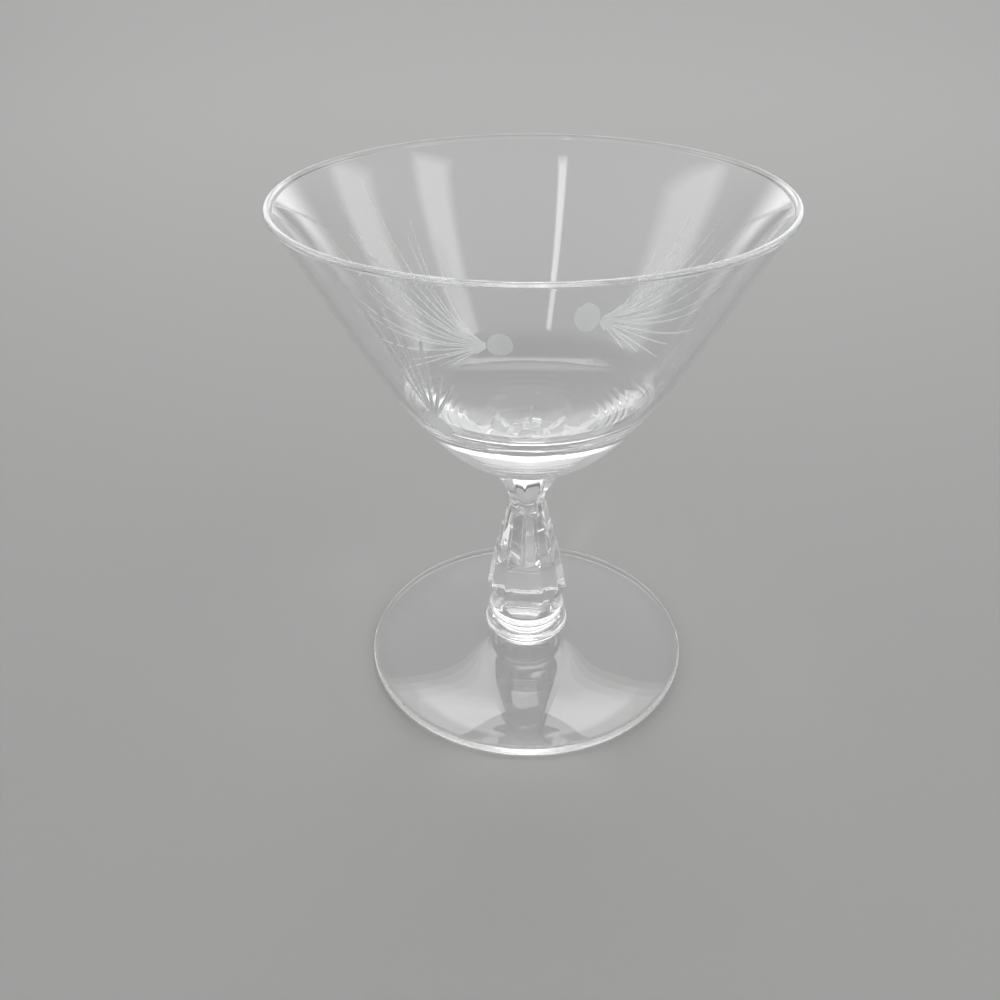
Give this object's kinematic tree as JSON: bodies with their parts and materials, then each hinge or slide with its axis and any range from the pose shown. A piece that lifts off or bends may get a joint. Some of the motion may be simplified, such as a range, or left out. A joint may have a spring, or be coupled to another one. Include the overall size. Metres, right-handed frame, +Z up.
{
  "type": "sherbet glass",
  "caption": "Stemmed sherbet glass in clear crystal, with a wide open bowl on a faceted pressed stem, a stepped collar and a round foot.",
  "frame": {"origin": "middle of the foot, on the surface that the glass stands on", "axes": "+Z up along the glass's axis, -Y towards the viewer of the picture"},
  "size_m": [0.1014, 0.1014, 0.115],
  "materials": {
    "clear_glass": "polished clear crystal"
  },
  "bodies": {
    "root": {"foot": "clear_glass", "collar": "clear_glass", "stem": "clear_glass", "bowl": "clear_glass"}
  },
  "joints": []
}
